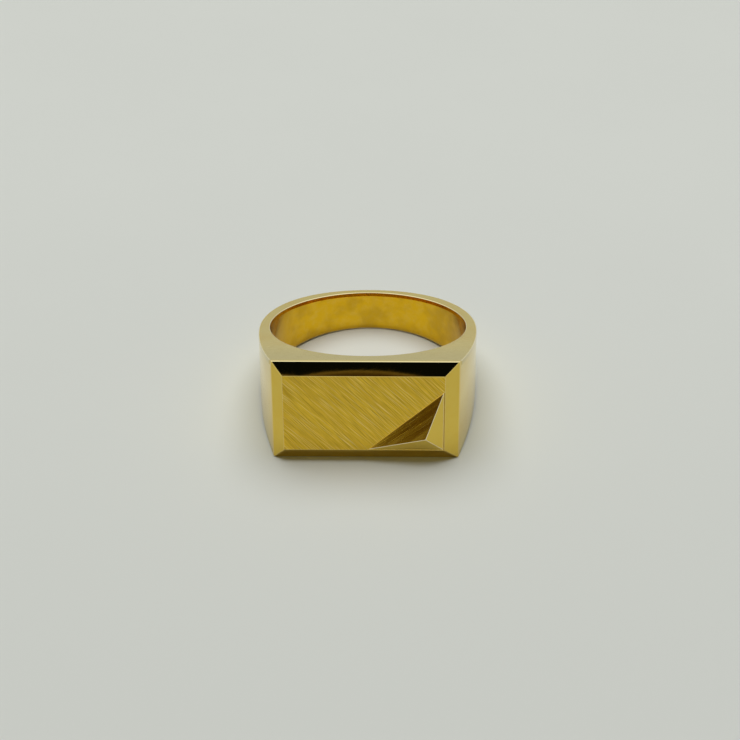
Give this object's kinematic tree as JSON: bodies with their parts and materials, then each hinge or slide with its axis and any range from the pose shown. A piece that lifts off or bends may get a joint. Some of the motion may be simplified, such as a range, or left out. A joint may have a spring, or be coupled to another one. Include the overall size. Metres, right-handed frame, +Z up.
{
  "type": "signet ring",
  "caption": "Signet ring with a rectangular bevelled face, brushed table, raised corner facet and tapering band.",
  "frame": {"origin": "on the surface that the ring rests on, under the middle of its bounding box", "axes": "+Z up as the ring lies on its side, -Y the way the face looks (8 degrees upwards), +X to the right of the face"},
  "size_m": [0.0222, 0.0252, 0.0106],
  "materials": {
    "polished_gold": "polished 18 carat yellow gold",
    "bore_gold": "polished yellow gold, softened by wear inside the finger bore",
    "satin_gold": "yellow gold, table brushed on the diagonal, bevels polished",
    "bright_cut_gold": "yellow gold, finely brushed upper facet and bright lower facets"
  },
  "bodies": {
    "root": {"shank": "polished_gold", "finger_floor": "bore_gold", "left_shoulder": "polished_gold", "right_shoulder": "polished_gold", "upper_cheek": "polished_gold", "lower_cheek": "polished_gold", "signet_plate": "satin_gold", "corner_facet": "bright_cut_gold"}
  },
  "joints": []
}
